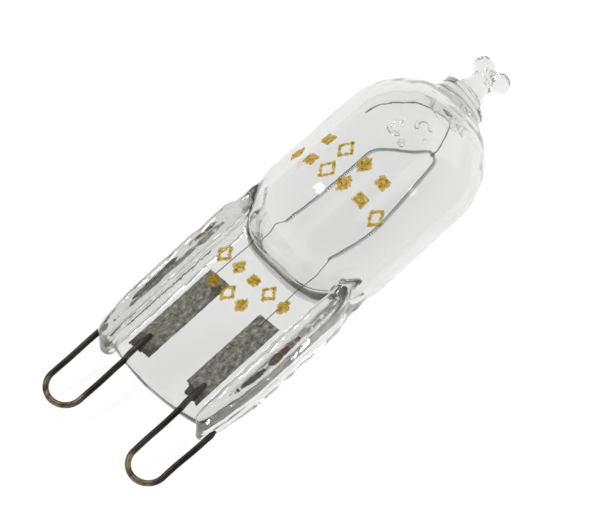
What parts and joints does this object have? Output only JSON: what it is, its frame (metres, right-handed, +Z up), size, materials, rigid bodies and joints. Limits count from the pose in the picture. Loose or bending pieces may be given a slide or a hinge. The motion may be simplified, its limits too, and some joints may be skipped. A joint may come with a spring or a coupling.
{
  "type": "oven light bulb",
  "caption": "Clear quartz capsule lamp for ovens: a sealed bulb with a coiled filament, a flat press seal and hairpin contact loops.",
  "frame": {"origin": "on the surface it rests on, under the middle of its box", "axes": "+X towards the sealed tip, along the lamp; +Y across the press seal; +Z up from the surface"},
  "size_m": [0.045, 0.013, 0.0146],
  "materials": {
    "quartz_glass": "clear, fire polished",
    "foil": "mottled dark metal foil",
    "contact_wire": "dull drawn wire",
    "tungsten": "dark coiled wire",
    "support_wire": "dark drawn wire"
  },
  "bodies": {
    "root": {"quartz_envelope": "quartz_glass", "foil_left": "foil", "foil_right": "foil", "contact_loop_left": "contact_wire", "contact_loop_right": "contact_wire", "filament": "tungsten", "filament_support": "support_wire"}
  },
  "joints": []
}
